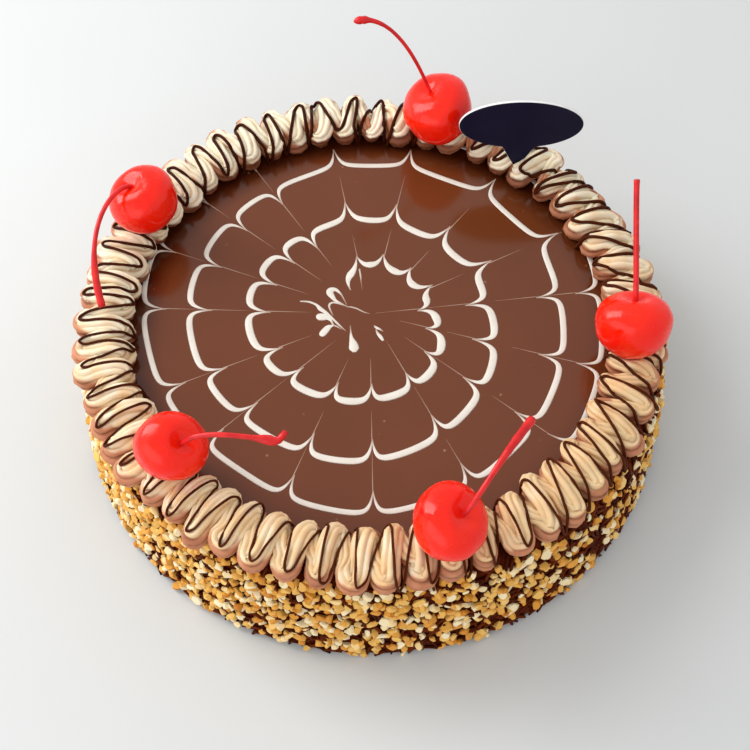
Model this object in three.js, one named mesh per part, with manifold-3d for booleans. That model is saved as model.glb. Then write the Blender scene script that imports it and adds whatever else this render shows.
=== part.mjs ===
// A round chocolate drizzle cake: a nut-coated body, a poured chocolate glaze, a piped cream border
// with a chocolate drizzle over it, five cherries on their stems and a blank oval plaque.
// Millimetres, +Z up, origin at the centre of the underside. Bearings run from the front (-Y) towards +X.
import * as THREE from 'three';
import { mergeVertices } from 'three/addons/utils/BufferGeometryUtils.js';
import Module from 'manifold-3d';

const wasm = await Module();
wasm.setup();

// Air between two pieces that touch
const FIT_GAP = 0.3;

// Cake body, with its rounded upper edge
const CAKE_BASE_RADIUS = 107.5;
const CAKE_TOP_RADIUS = 103.5;
const CAKE_HEIGHT = 45;
const CAKE_SHOULDER = 4;
const CAKE_FOOT_CHAMFER = 0.8;
const CAKE_SIDES = 60;

// Chopped nuts pressed into the side
const NUT_COUNT = 146;
const NUT_LENGTH_SMALL = 4;
const NUT_LENGTH_LARGE = 5.6;
const NUT_LOWEST = 4.6;
const NUT_HIGHEST = 38.6;
const NUT_SINK = 0.4;
const NUT_SEED = 7;
const GOLDEN_ANGLE = Math.PI * (3 - Math.sqrt(5));

// Poured glaze on the flat top
const GLAZE_RADIUS = 94;
const GLAZE_THICKNESS = 1.7;
const GLAZE_EDGE = 0.6;
const GLAZE_TOP = CAKE_HEIGHT + FIT_GAP + GLAZE_THICKNESS;

// Piped border: a ring of lobes that lean round the cake, piped a little to the left. The lobes are
// wider at the back on the right and narrower opposite.
const LOBE_COUNT = 56;
const LOBE_SLANT = THREE.MathUtils.degToRad(2.4);
const LOBE_SPREAD = 0.07;
const LOBE_SPREAD_ANGLE = THREE.MathUtils.degToRad(35);
const BORDER_CENTRE = [-1.2, -0.4];
const BORDER_RADIUS = 93.8;
const BORDER_HALF_WIDTH = 10.8;
const BORDER_RISE = 10.4;
const BORDER_SEAT = GLAZE_TOP + FIT_GAP;
const VALLEY_DEPTH = 3.4;
const VALLEY_DROP = 3.4;
// The border's section, from its outer side over the top to the inner foot and back underneath: reach from
// the ring's middle and the rise, as shares of the half width and the height, and the share of the slant
const BORDER_SECTION = [
  { reach: 1, rise: 0.1, inward: 0 },
  { reach: 0.8, rise: 0.62, inward: 0.25 },
  { reach: 0.1, rise: 1, inward: 0.5 },
  { reach: -0.6, rise: 0.8, inward: 0.75 },
  { reach: -0.98, rise: 0.36, inward: 1 },
  { reach: -0.92, rise: 0, inward: 1 },
  { reach: 0.4, rise: 0, inward: 0.25 },
  { reach: 0.84, rise: -0.19, inward: 0 },
];

// Chocolate drizzle that zigzags over the border, one zigzag to a lobe
const DRIZZLE_RISE = 1.1;
const DRIZZLE_HALF_SPAN = 0.065;
const DRIZZLE_OUTER_PHASE = 0.4;
const DRIZZLE_INNER_PHASE = 0.1;

// Cherries on the border: the height of their centres, the stem's dimple and the stem pressed into it
const CHERRY_HEIGHT = 65.5;
const CHERRY_TALLNESS = 0.93;
const CHERRY_DIMPLE_DEPTH = 3.2;
const CHERRY_DIMPLE_RADIUS = 4.2;
const CHERRY_SIDES = 14;
const CHERRY_RINGS = 8;
const STEM_SINK = 1.6;
const STEM_RISE = 7;
const STEM_STEPS = 7;
// Each cherry's bearing, distance from the middle of the cake and radius, how long it is from front to back
// as a share of its width, the lean of its dimple, and the stem's radius, bend, tip and end knob. The bend
// and the tip are offsets from the cherry's centre.
const CHERRIES = [
  {
    bearing: 14.7, reach: 92.6, radius: 11.8, depth: 1.07, lean: [0.6, -0.17],
    stem: 0.9, bend: [12, 7.4, 19.9], tip: [26, 26.9, 17.3], knob: 1.6,
  },
  {
    bearing: 80.5, reach: 90.0, radius: 13.1, depth: 0.93, lean: [0, 0.94],
    stem: 1.0, bend: [-1.1, 25.1, 27.6], tip: [-1.9, 31.1, 38.8], knob: 1.2,
  },
  {
    bearing: 163.8, reach: 89.2, radius: 13.0, depth: 1.13, lean: [-0.42, 0.15],
    stem: 0.7, bend: [-15.7, 6, 45.4], tip: [-32, 2.4, 41.8], knob: 1.6,
  },
  {
    bearing: 244.2, reach: 92.7, radius: 12.4, depth: 1.04, lean: [-0.4, 0.06],
    stem: 0.85, bend: [-20.2, -18.7, 15.1], tip: [-11.1, -44.3, -4.6], knob: 1.4,
  },
  {
    bearing: 313.8, reach: 90.6, radius: 12.2, depth: 0.88, lean: [0.74, -0.41],
    stem: 0.85, bend: [7.5, -3.9, 19.8], tip: [34.9, -5.8, 13.7], knob: 1.8,
  },
];

// Blank oval plaque on a pointed tail that stands in the border
const PLAQUE_HALF_WIDTH = 23;
const PLAQUE_HALF_HEIGHT = 12;
const PLAQUE_THICKNESS = 1;
const PLAQUE_CENTRE = new THREE.Vector3(54.6, 68.6, 75.5);
const PLAQUE_TAIL_HALF_ANGLE = 0.27;
const PLAQUE_TAIL_TIP = -24;
const PLAQUE_CURVE_SEGMENTS = 14;

const material = (color, roughness) => new THREE.MeshStandardMaterial({ color, roughness, metalness: 0 });
const nutCoat = material(0xc79a52, 0.75);
const glazeChocolate = material(0x5f3a2a, 0.2);
const pipedCream = material(0xe0c294, 0.55);
const cherryRed = material(0xe01510, 0.15);
const stemRed = material(0xc01820, 0.35);
const plaqueNavy = material(0x1d1f33, 0.4);

function seededRandom(seed) {
  let state = seed;
  return () => {
    state = (state * 1664525 + 1013904223) % 4294967296;
    return state / 4294967296;
  };
}

// A closed geometry as a solid that can be joined and cut
function toSolid(geometry) {
  const bare = geometry.clone();
  bare.deleteAttribute('normal');
  bare.deleteAttribute('uv');
  const merged = mergeVertices(bare, 1e-4);
  return new wasm.Manifold(new wasm.Mesh({
    numProp: 3,
    vertProperties: Float32Array.from(merged.attributes.position.array),
    triVerts: Uint32Array.from(merged.index.array),
  }));
}

function toGeometry(solid) {
  const { vertProperties, triVerts } = solid.getMesh();
  const geometry = new THREE.BufferGeometry();
  geometry.setAttribute('position', new THREE.BufferAttribute(vertProperties, 3));
  geometry.setIndex(new THREE.BufferAttribute(triVerts, 1));
  geometry.computeVertexNormals();
  return geometry;
}

// A profile of [radius, height] points turned round the Z axis, listed from the bottom to the top
function turned(profile, sides) {
  const points = profile.map(([radius, height]) => new THREE.Vector2(radius, height));
  return new THREE.LatheGeometry(points, sides).rotateX(Math.PI / 2);
}

function onBearing(degrees, radius, height) {
  const angle = THREE.MathUtils.degToRad(degrees);
  return new THREE.Vector3(radius * Math.sin(angle), -radius * Math.cos(angle), height);
}

function cakeCore() {
  const shoulder = [0, 1, 2, 3].map((step) => {
    const angle = step / 3 * Math.PI / 2;
    return [
      CAKE_TOP_RADIUS - CAKE_SHOULDER + CAKE_SHOULDER * Math.cos(angle),
      CAKE_HEIGHT - CAKE_SHOULDER + CAKE_SHOULDER * Math.sin(angle),
    ];
  });
  return turned([
    [0, 0],
    [CAKE_BASE_RADIUS - CAKE_FOOT_CHAMFER, 0],
    [CAKE_BASE_RADIUS, CAKE_FOOT_CHAMFER],
    ...shoulder,
    [0, CAKE_HEIGHT],
  ], CAKE_SIDES);
}

// One chopped nut: a chunk of uneven proportions, turned at random
function choppedNut(random) {
  const length = THREE.MathUtils.lerp(NUT_LENGTH_SMALL, NUT_LENGTH_LARGE, random());
  const nut = new THREE.BoxGeometry(length, length * (0.7 + 0.3 * random()), length * (0.6 + 0.3 * random()));
  return nut.rotateX(Math.PI * random()).rotateY(Math.PI * random()).rotateZ(Math.PI * random());
}

function nutCoatedCake() {
  const random = seededRandom(NUT_SEED);
  const nuts = [];
  for (let i = 0; i < NUT_COUNT; i += 1) {
    const height = THREE.MathUtils.lerp(NUT_LOWEST, NUT_HIGHEST, (i + 0.5) / NUT_COUNT);
    const climb = height / (CAKE_HEIGHT - CAKE_SHOULDER);
    const reach = THREE.MathUtils.lerp(CAKE_BASE_RADIUS, CAKE_TOP_RADIUS, climb) - NUT_SINK;
    const angle = i * GOLDEN_ANGLE;
    const nut = choppedNut(random).translate(reach * Math.cos(angle), reach * Math.sin(angle), height);
    nuts.push(toSolid(nut));
  }
  return toGeometry(toSolid(cakeCore()).add(wasm.Manifold.union(nuts)));
}

function glazeDisc() {
  const underside = CAKE_HEIGHT + FIT_GAP;
  return turned([
    [0, underside],
    [GLAZE_RADIUS - GLAZE_EDGE, underside],
    [GLAZE_RADIUS, underside + GLAZE_EDGE],
    [GLAZE_RADIUS - GLAZE_EDGE, GLAZE_TOP],
    [0, GLAZE_TOP],
  ], CAKE_SIDES);
}

// The columns across one lobe, as phases from valley to valley. The drizzle climbs one flank and comes
// down the other, so its columns draw together at the outer end and apart at the inner end.
function lobeColumns(inward) {
  const stroke = THREE.MathUtils.lerp(DRIZZLE_OUTER_PHASE, DRIZZLE_INNER_PHASE, inward);
  const column = (phase, drizzle) => ({ phase, drizzle });
  return [
    column(0, false),
    column(stroke - DRIZZLE_HALF_SPAN, false),
    column(stroke, true),
    column(stroke + DRIZZLE_HALF_SPAN, false),
    column(0.5, false),
    column(1 - stroke - DRIZZLE_HALF_SPAN, false),
    column(1 - stroke, true),
    column(1 - stroke + DRIZZLE_HALF_SPAN, false),
  ];
}
const COLUMNS_PER_LOBE = lobeColumns(0).length;
const CREST_COLUMN = COLUMNS_PER_LOBE / 2;

// Where one column crosses one row of the section. The rows of the seat, which nothing shows, keep only the
// valley and the crest of each lobe.
function borderPoint(column, row) {
  const { reach, rise, inward } = BORDER_SECTION[row];
  const lobe = Math.floor(column / COLUMNS_PER_LOBE);
  const place = column % COLUMNS_PER_LOBE;
  const kept = rise === 0 ? place - place % CREST_COLUMN : place;
  const { phase, drizzle } = lobeColumns(inward)[kept];
  const hollow = 1 - Math.sqrt(Math.sin(Math.PI * phase));
  const across = reach * (BORDER_HALF_WIDTH - VALLEY_DEPTH * hollow);
  const up = rise * (BORDER_RISE - VALLEY_DROP * hollow);
  const swell = drizzle && rise > 0 ? 1 + DRIZZLE_RISE / Math.hypot(across, up) : 1;
  const radius = BORDER_RADIUS + across * swell;
  const even = (lobe + phase) / LOBE_COUNT * 2 * Math.PI;
  const spread = even + LOBE_SPREAD * Math.sin(even - LOBE_SPREAD_ANGLE);
  const angle = spread + LOBE_SLANT * (inward - 0.5);
  const [centreX, centreY] = BORDER_CENTRE;
  const x = centreX + radius * Math.cos(angle);
  return new THREE.Vector3(x, centreY + radius * Math.sin(angle), BORDER_SEAT + up * swell);
}

// The ring of lobes, drawn on a torus with one row for each section point
function borderRing() {
  const columns = LOBE_COUNT * COLUMNS_PER_LOBE;
  const rows = BORDER_SECTION.length;
  const ring = new THREE.TorusGeometry(BORDER_RADIUS, BORDER_HALF_WIDTH, rows, columns);
  const positions = ring.attributes.position;
  for (let row = 0; row <= rows; row += 1) {
    for (let column = 0; column <= columns; column += 1) {
      const point = borderPoint(column % columns, row % rows);
      positions.setXYZ(row * (columns + 1) + column, point.x, point.y, point.z);
    }
  }
  return ring;
}

// A cherry's flesh round its own centre, leaning on its place. Extra swells it, and a dimple depth of 0
// closes the top.
function cherryFlesh(cherry, extra, dimpleDepth) {
  const profile = [];
  for (let ring = 0; ring <= CHERRY_RINGS; ring += 1) {
    const angle = ring / CHERRY_RINGS * Math.PI;
    const reach = ring % CHERRY_RINGS === 0 ? 0 : (cherry.radius + extra) * Math.sin(angle);
    const top = ring > CHERRY_RINGS / 2;
    const dip = top ? dimpleDepth * Math.exp(-((reach / CHERRY_DIMPLE_RADIUS) ** 2)) : 0;
    profile.push([reach, -(cherry.radius * CHERRY_TALLNESS + extra) * Math.cos(angle) - dip]);
  }
  return turned(profile, CHERRY_SIDES).applyQuaternion(cherryTurn(cherry)).scale(1, cherry.depth, 1);
}

function cherryCentre(cherry) {
  return onBearing(cherry.bearing, cherry.reach, CHERRY_HEIGHT);
}

function cherryAxis(cherry) {
  return new THREE.Vector3(cherry.lean[0], cherry.lean[1], 1).normalize();
}

function cherryTurn(cherry) {
  return new THREE.Quaternion().setFromUnitVectors(new THREE.Vector3(0, 0, 1), cherryAxis(cherry));
}

// How far along the cherry's axis the stem's foot stands, a little below the floor of the dimple
function stemFoot(cherry) {
  return cherry.radius * CHERRY_TALLNESS - CHERRY_DIMPLE_DEPTH - STEM_SINK;
}

// The stem's shaft leaves the dimple along the cherry's axis and bends over to its tip.
// A margin makes the hole that it stands in.
function stemShaft(cherry, margin) {
  const axis = cherryAxis(cherry);
  const foot = axis.clone().multiplyScalar(stemFoot(cherry) - margin);
  const rise = axis.clone().multiplyScalar(stemFoot(cherry) + STEM_RISE);
  const bend = new THREE.Vector3(...cherry.bend);
  const tip = new THREE.Vector3(...cherry.tip);
  const section = new THREE.Shape().absarc(0, 0, cherry.stem + margin, 0, 2 * Math.PI);
  return new THREE.ExtrudeGeometry(section, {
    steps: STEM_STEPS,
    curveSegments: 3,
    bevelEnabled: false,
    extrudePath: new THREE.CubicBezierCurve3(foot, rise, bend, tip),
  });
}

// The cherry, with a hole in the dimple for the foot of the stem
function cherryBody(cherry) {
  const flesh = cherryFlesh(cherry, 0, CHERRY_DIMPLE_DEPTH);
  return toGeometry(toSolid(flesh).subtract(toSolid(stemShaft(cherry, FIT_GAP))));
}

// The stem with the small knob that it hung from
function cherryStem(cherry) {
  const knob = new THREE.SphereGeometry(cherry.knob, 6, 4).translate(...cherry.tip);
  return toGeometry(toSolid(stemShaft(cherry, 0)).add(toSolid(knob)));
}

function plaqueOutline(margin) {
  const right = -Math.PI / 2 + PLAQUE_TAIL_HALF_ANGLE;
  const left = -Math.PI / 2 - PLAQUE_TAIL_HALF_ANGLE + 2 * Math.PI;
  const outline = new THREE.Shape();
  outline.absellipse(0, 0, PLAQUE_HALF_WIDTH + margin, PLAQUE_HALF_HEIGHT + margin, right, left, false);
  outline.lineTo(0, PLAQUE_TAIL_TIP - 2 * margin);
  outline.closePath();
  return outline;
}

// The plaque stands upright and faces the front. A margin makes the slot that it stands in.
function plaqueCard(margin) {
  const depth = PLAQUE_THICKNESS + 2 * margin;
  return new THREE.ExtrudeGeometry(plaqueOutline(margin), {
    depth, bevelEnabled: false, curveSegments: PLAQUE_CURVE_SEGMENTS,
  }).translate(0, 0, -depth / 2).rotateX(Math.PI / 2);
}

// The border with a socket pressed in under each cherry and a slot for the plaque's tail
function pipedBorder() {
  let border = toSolid(borderRing());
  for (const cherry of CHERRIES) {
    const centre = cherryCentre(cherry);
    const socket = cherryFlesh(cherry, FIT_GAP, 0).translate(centre.x, centre.y, centre.z);
    border = border.subtract(toSolid(socket));
  }
  const slot = plaqueCard(FIT_GAP).translate(PLAQUE_CENTRE.x, PLAQUE_CENTRE.y, PLAQUE_CENTRE.z);
  return toGeometry(border.subtract(toSolid(slot)));
}

function addMesh(parent, name, geometry, meshMaterial) {
  const mesh = new THREE.Mesh(geometry, meshMaterial);
  mesh.name = name;
  parent.add(mesh);
  return mesh;
}

const cake = new THREE.Group();
addMesh(cake, 'nut_coated_cake', nutCoatedCake(), nutCoat);
addMesh(cake, 'chocolate_glaze', glazeDisc(), glazeChocolate);
addMesh(cake, 'piped_border', pipedBorder(), pipedCream);

CHERRIES.forEach((cherry, index) => {
  const place = new THREE.Group();
  place.position.copy(cherryCentre(cherry));
  addMesh(place, `cherry_${index + 1}`, cherryBody(cherry), cherryRed);
  addMesh(place, `cherry_stem_${index + 1}`, cherryStem(cherry), stemRed);
  cake.add(place);
});

addMesh(cake, 'plaque', plaqueCard(0), plaqueNavy).position.copy(PLAQUE_CENTRE);

export default cake;
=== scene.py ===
# %% [markdown]
# # A chocolate drizzle cake
#
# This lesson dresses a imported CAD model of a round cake: a side coated with chopped nuts, a poured chocolate
# glaze with a feathered web of icing, a piped cream border with a chocolate drizzle, five cherries on their
# stems and a blank oval plaque. The CAD solids give every place and size. Blender gives the looks.
#
# Everything is drawn in millimetres, as a cook would, and scaled to Blender's metres when the piece is put on
# the cake. The front of the cake faces -Y, and +Z is up.

import random
from collections import namedtuple
from math import atan, atan2, cos, degrees, exp, pi, radians, sin, sqrt

import bmesh
import bpy
import numpy as np
from mathutils import Matrix, Vector
from mathutils.bvhtree import BVHTree
from mathutils.geometry import interpolate_bezier
from mathutils.noise import noise


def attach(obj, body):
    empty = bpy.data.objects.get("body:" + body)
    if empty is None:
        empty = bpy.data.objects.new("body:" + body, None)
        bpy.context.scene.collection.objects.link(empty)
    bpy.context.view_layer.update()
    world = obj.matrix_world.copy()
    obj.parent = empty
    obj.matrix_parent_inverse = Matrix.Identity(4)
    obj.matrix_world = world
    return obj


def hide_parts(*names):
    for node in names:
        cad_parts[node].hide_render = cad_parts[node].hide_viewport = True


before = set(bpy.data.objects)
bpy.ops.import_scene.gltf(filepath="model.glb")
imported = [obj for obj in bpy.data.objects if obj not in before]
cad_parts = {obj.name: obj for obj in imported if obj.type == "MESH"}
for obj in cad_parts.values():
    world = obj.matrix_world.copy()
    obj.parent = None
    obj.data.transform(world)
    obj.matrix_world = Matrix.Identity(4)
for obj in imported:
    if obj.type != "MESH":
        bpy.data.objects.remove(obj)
scene = bpy.context.scene
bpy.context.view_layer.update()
print("CAD nodes:", ", ".join(sorted(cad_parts)))

# %% [markdown]
# ## The camera
#
# The cake is seen from the front and from well above, so that the whole glazed top shows. A longish lens keeps
# the circle of the border from being stretched. The camera is placed by an elevation and a distance from a
# target point, which is easier to adjust than three coordinates.

# %% Place the camera
VIEW_TARGET = Vector((0.000564, 0.0, 0.011204))
VIEW_DISTANCE = 0.50551
VIEW_ELEVATION = radians(57.07)


def in_scene(name, data):
    """A new object in the scene for this camera, lamp, curve or mesh."""
    thing = bpy.data.objects.new(name, data)
    scene.collection.objects.link(thing)
    return thing


lens = bpy.data.cameras.new("camera")
lens.sensor_width = 36
lens.lens = 63.54
lens.clip_start = 0.01
camera = in_scene("camera", lens)
away = Vector((0, -cos(VIEW_ELEVATION), sin(VIEW_ELEVATION)))
camera.location = VIEW_TARGET + away * VIEW_DISTANCE
camera.rotation_euler = (pi / 2 - VIEW_ELEVATION, 0, 0)
scene.camera = camera
print("Camera at, metres:", [round(value, 4) for value in camera.location])

# %% [markdown]
# ## Soft studio light
#
# Food is photographed in a bright tent: light comes from nearly everywhere, with one large softbox that gives
# the gloss its direction. A plain white world is the tent. The key softbox stands on the left of the cake, tall
# and narrow like a window, and a wide, low one fills the front, so that the side isn't left in the shade.

# %% Light the tent
TENT_STRENGTH = 0.78
LIT_POINT = Vector((0, 0, 0.04))


def softbox(name, place, width, height, power):
    lamp = bpy.data.lights.new(name, "AREA")
    lamp.shape = "RECTANGLE"
    lamp.size = width
    lamp.size_y = height
    lamp.energy = power
    stand = in_scene(name, lamp)
    stand.location = place
    stand.rotation_euler = (LIT_POINT - stand.location).to_track_quat("-Z", "Y").to_euler()


tent = bpy.data.worlds.new("tent")
tent.use_nodes = True
light = tent.node_tree.nodes["Background"].inputs
light["Color"].default_value = (1, 1, 1, 1)
light["Strength"].default_value = TENT_STRENGTH
scene.world = tent
softbox("key_softbox", (-0.67, 0.30, 0.6), 0.48, 0.86, 6.8)
softbox("fill_softbox", (-0.62, -0.72, 0.36), 1.4, 0.7, 3.1)
scene.view_settings.view_transform = "Standard"
print("World strength:", TENT_STRENGTH)

# %% [markdown]
# ## Helpers for finishes
#
# A finish is a Principled shader fed by a few procedural textures. These helpers make a node, set its values
# by name and wire it up, so that each finish below reads as a short list of what it is made of.

# %% Helpers for finishes


def set_inputs(node, inputs):
    """Sets a node's inputs by name. A source is wired in, and anything else is a constant."""
    for name, value in inputs.items():
        socket = node.inputs[name.replace("_", " ")]
        if isinstance(value, bpy.types.NodeSocket):
            node.id_data.links.new(value, socket)
        else:
            socket.default_value = value


def set_shader(finish, **inputs):
    set_inputs(finish.node_tree.nodes["Principled BSDF"], inputs)


def new_finish(name, **inputs):
    """A material whose shader already has its constant values."""
    finish = bpy.data.materials.new(name)
    finish.use_nodes = True
    set_shader(finish, **inputs)
    return finish


def add_node(finish, kind, **inputs):
    node = finish.node_tree.nodes.new("ShaderNode" + kind)
    set_inputs(node, inputs)
    return node


def texture(finish, kind, **inputs):
    """The outputs of a texture that lies in the piece's own coordinates."""
    place = add_node(finish, "TexCoord").outputs["Object"]
    return add_node(finish, "Tex" + kind, Vector=place, **inputs).outputs


def grain(finish, scale, detail=3):
    """Noise. A scale of 1000 has features about a millimetre across."""
    return texture(finish, "Noise", Scale=scale, Detail=detail)["Fac"]


def roughened(finish, scale, height, strength, detail=3):
    """Gives a finish a bump of this grain, as deep as height in metres."""
    bump = add_node(finish, "Bump", Height=grain(finish, scale, detail), Strength=strength, Distance=height)
    set_shader(finish, Normal=bump.outputs["Normal"])


# %% Helpers for colours


def stored(finish, name):
    """A value that the piece keeps on its own points or faces."""
    reader = add_node(finish, "Attribute")
    reader.attribute_name = name
    return reader.outputs["Fac"]


def ramp(finish, source, *stops):
    """Colours at places from 0 to 1 along a source."""
    node = add_node(finish, "ValToRGB", Fac=source)
    elements = node.color_ramp.elements
    while len(elements) < len(stops):
        elements.new(0.5)
    for element, (place, colour) in zip(elements, stops):
        element.position = place
        element.color = (*colour, 1)
    return node.outputs["Color"]


def mottled(finish, scale, low, high):
    """A colour that wanders between two others."""
    return ramp(finish, grain(finish, scale), (0.3, low), (0.7, high))


def span(finish, source, low, high, from_low, from_high):
    """A source brought to the range from low to high."""
    limits = {"From_Min": from_low, "From_Max": from_high, "To_Min": low, "To_Max": high}
    return add_node(finish, "MapRange", Value=source, **limits).outputs["Result"]


def blended(finish, share, first, second):
    """A colour between two others. The share is a source or the name of a stored value."""
    node = add_node(finish, "Mix")
    node.data_type = "RGBA"
    ends = [node.inputs[0]] + [socket for socket in node.inputs if socket.type == "RGBA"]
    share = stored(finish, share) if isinstance(share, str) else share
    for source, socket in zip((share, first, second), ends):
        finish.node_tree.links.new(source, socket)
    return next(socket for socket in node.outputs if socket.type == "RGBA")


# %% [markdown]
# ## Helpers for pieces
#
# Round pieces are a profile turned with the spin operator. Strands, such as piped cream, drizzle and stems,
# are curves with a section swept along them, made into a mesh at once. A finished piece is scaled from
# millimetres to metres, sits at the origin, rides on the cake and hides the CAD node that it stands for.

# %% Helpers for round pieces
MM = 0.001
WELD = 1e-4


def add_piece(name, mesh, finish, slot, *stands_for):
    mesh.name = name
    mesh.transform(Matrix.Scale(MM, 4))
    mesh.materials.append(finish)
    piece = in_scene(name, mesh)
    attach(piece, "root")
    if stands_for:
        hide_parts(*stands_for)
    mesh.calc_loop_triangles()
    print(f"{name}: {len(mesh.loop_triangles)} triangles")


def write_mesh(form, mesh):
    """Puts a bmesh into a mesh, smooth and with its faces turned outwards."""
    bmesh.ops.recalc_face_normals(form, faces=form.faces)
    form.to_mesh(mesh)
    form.free()
    mesh.shade_smooth()
    return mesh


def mesh_from(form):
    """Closes a bmesh and gives it as a mesh."""
    bmesh.ops.remove_doubles(form, verts=form.verts, dist=WELD)
    return write_mesh(form, bpy.data.meshes.new("form"))


def turned(profile, steps):
    """A profile of (radius, height) points spun round the Z axis."""
    form = bmesh.new()
    points = [form.verts.new((radius, 0, height)) for radius, height in profile]
    edges = [form.edges.new(pair) for pair in zip(points, points[1:])]
    bmesh.ops.spin(
        form, geom=points + edges, cent=(0, 0, 0), axis=(0, 0, 1), angle=2 * pi, steps=steps, use_merge=True
    )
    return form


# %% Helpers for strands and points


def new_curve(bevel_sides=8):
    curve = bpy.data.curves.new("strand", "CURVE")
    curve.dimensions = "3D"
    curve.twist_mode = "Z_UP"
    curve.bevel_depth = 1
    curve.bevel_resolution = bevel_sides // 2 - 2
    return curve


def add_strand(curve, points, radii, closed=False, kind="POLY"):
    """A strand through these points, with a radius at each."""
    strand = curve.splines.new(kind)
    strand.points.add(len(points) - 1)
    strand.use_cyclic_u = closed
    for knot, point, radius in zip(strand.points, points, radii):
        knot.co = (*point, 1)
        knot.radius = radius
    return strand


def mesh_of_curve(curve):
    """The swept strands as a mesh, with a face filled in at each open end."""
    holder = in_scene("holder", curve)
    bpy.context.view_layer.update()
    mesh = bpy.data.meshes.new_from_object(holder.evaluated_get(bpy.context.evaluated_depsgraph_get()))
    bpy.data.objects.remove(holder)
    bpy.data.curves.remove(curve)
    mesh.materials.clear()
    form = bmesh.new()
    form.from_mesh(mesh)
    bmesh.ops.holes_fill(form, edges=[edge for edge in form.edges if edge.is_boundary])
    return write_mesh(form, mesh)


def points_of(mesh):
    """The places of a mesh's points, as an array."""
    places = np.empty(len(mesh.vertices) * 3)
    mesh.vertices.foreach_get("co", places)
    return places.reshape(-1, 3)


def move_points(mesh, places):
    mesh.vertices.foreach_set("co", places.ravel())
    mesh.update()


def store(mesh, name, values, domain="POINT"):
    """Keeps one number on every point or face, for the finish to read."""
    mesh.attributes.new(name, "FLOAT", domain).data.foreach_set("value", np.asarray(values, dtype=np.float32))


def bumps(places, scale, lift=0):
    """Noise at each place. The lift picks another part of the noise."""
    return np.array([noise(Vector(place) * scale + Vector((0, 0, lift))) for place in places])


# %% [markdown]
# ## The floor
#
# A plain pale surface, so that nothing competes with the cake. It isn't part of the cake. Its finish has a very
# weak mottle, as a painted table has.

# %% Lay the floor
FLOOR_HALF_WIDTH = 3.0
FLOOR_GAP = 0.0002

paint = new_finish("floor_paint", Roughness=0.7, Specular_IOR_Level=0.2)
set_shader(paint, Base_Color=mottled(paint, 6, (0.635, 0.65, 0.648), (0.655, 0.67, 0.668)))
floor_form = bmesh.new()
bmesh.ops.create_grid(floor_form, x_segments=2, y_segments=2, size=FLOOR_HALF_WIDTH)
bmesh.ops.translate(floor_form, vec=(0, 0, -FLOOR_GAP), verts=floor_form.verts)
floor_mesh = mesh_from(floor_form)
floor_mesh.materials.append(paint)
floor = in_scene("floor", floor_mesh)
print("Floor, metres across:", 2 * FLOOR_HALF_WIDTH)

# %% [markdown]
# ## The cake body
#
# Under the nuts, the side is a rough coat of dark chocolate. A profile with a rounded shoulder is spun into
# the body, and its points are pushed in and out a little by noise, because a palette knife never leaves a
# true cone.

# %% Turn the cake body
CAKE_BASE_RADIUS = 107.5
CAKE_TOP_RADIUS = 103.5
CAKE_HEIGHT = 45.0
CAKE_SHOULDER = 4.0
CAKE_FOOT = 0.8
SIDE_HEIGHT = CAKE_HEIGHT - CAKE_SHOULDER
SIDE_STEPS = 14
SHOULDER_STEPS = 6
BODY_SIDES = 180


def polar(angle, radius):
    return radius * cos(angle), radius * sin(angle)


body_profile = [(0, 0), (CAKE_BASE_RADIUS - CAKE_FOOT, 0)]
body_profile += [*np.linspace((CAKE_BASE_RADIUS, CAKE_FOOT), (CAKE_TOP_RADIUS, SIDE_HEIGHT), SIDE_STEPS + 1)]
for step in range(1, SHOULDER_STEPS + 1):
    out, up = polar(step / SHOULDER_STEPS * pi / 2, CAKE_SHOULDER)
    body_profile.append((CAKE_TOP_RADIUS - CAKE_SHOULDER + out, SIDE_HEIGHT + up))
body_profile.append((0, CAKE_HEIGHT))
body_mesh = mesh_from(turned(body_profile, BODY_SIDES))
print("Cake body of", len(body_mesh.vertices), "points")

# %% Roughen the cake body
places = points_of(body_mesh)
reach = np.hypot(places[:, 0], places[:, 1])
on_coat = (reach > 90) & (places[:, 2] > 0.5)
wobble = 0.5 * bumps(places, 0.12) - 0.3
places[on_coat, :2] *= (1 + wobble[on_coat] / reach[on_coat])[:, None]
move_points(body_mesh, places)

coat = new_finish("side_chocolate", Roughness=0.6, Specular_IOR_Level=0.02)
spread = ramp(coat, grain(coat, 350), (0.3, (0.045, 0.004, 0.0006)), (0.75, (0.100, 0.013, 0.002)))
set_shader(coat, Base_Color=spread)
roughened(coat, 900, 0.0006, 0.6)
add_piece("cake_body", body_mesh, coat, "nut_coat", "nut_coated_cake")

# %% [markdown]
# ## Chopped nuts
#
# The nuts are the roasted kernels that a baker chops and presses on by the handful: rounded where the skin
# was, flat where the knife went. So each shape starts as a sphere and is chopped with the bisect operator a
# few times, and each cut is filled and marked, because a cut face is paler than the roasted outside. Fourteen
# shapes are enough, since every nut is turned and scaled in its own way.

# %% Chop the nut shapes
NUT_SHAPES = 14
NUT_CUTS = 6
NUT_CRUMB = 0.16


def chopped_kernel(chance):
    form = bmesh.new()
    bmesh.ops.create_icosphere(form, subdivisions=2, radius=1.0)
    cut_mark = form.faces.layers.int.new("cut")
    for _ in range(NUT_CUTS):
        direction = Vector([chance.gauss(0, 1) for _ in range(3)]).normalized()
        chop = bmesh.ops.bisect_plane(
            form,
            geom=form.verts[:] + form.edges[:] + form.faces[:],
            plane_co=direction * chance.uniform(0.42, 0.66),
            plane_no=direction,
            clear_outer=True,
        )
        rim = [part for part in chop["geom_cut"] if isinstance(part, bmesh.types.BMEdge)]
        for face in bmesh.ops.holes_fill(form, edges=rim)["faces"]:
            face[cut_mark] = 1
    bmesh.ops.remove_doubles(form, verts=form.verts, dist=NUT_CRUMB)
    return form


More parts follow.
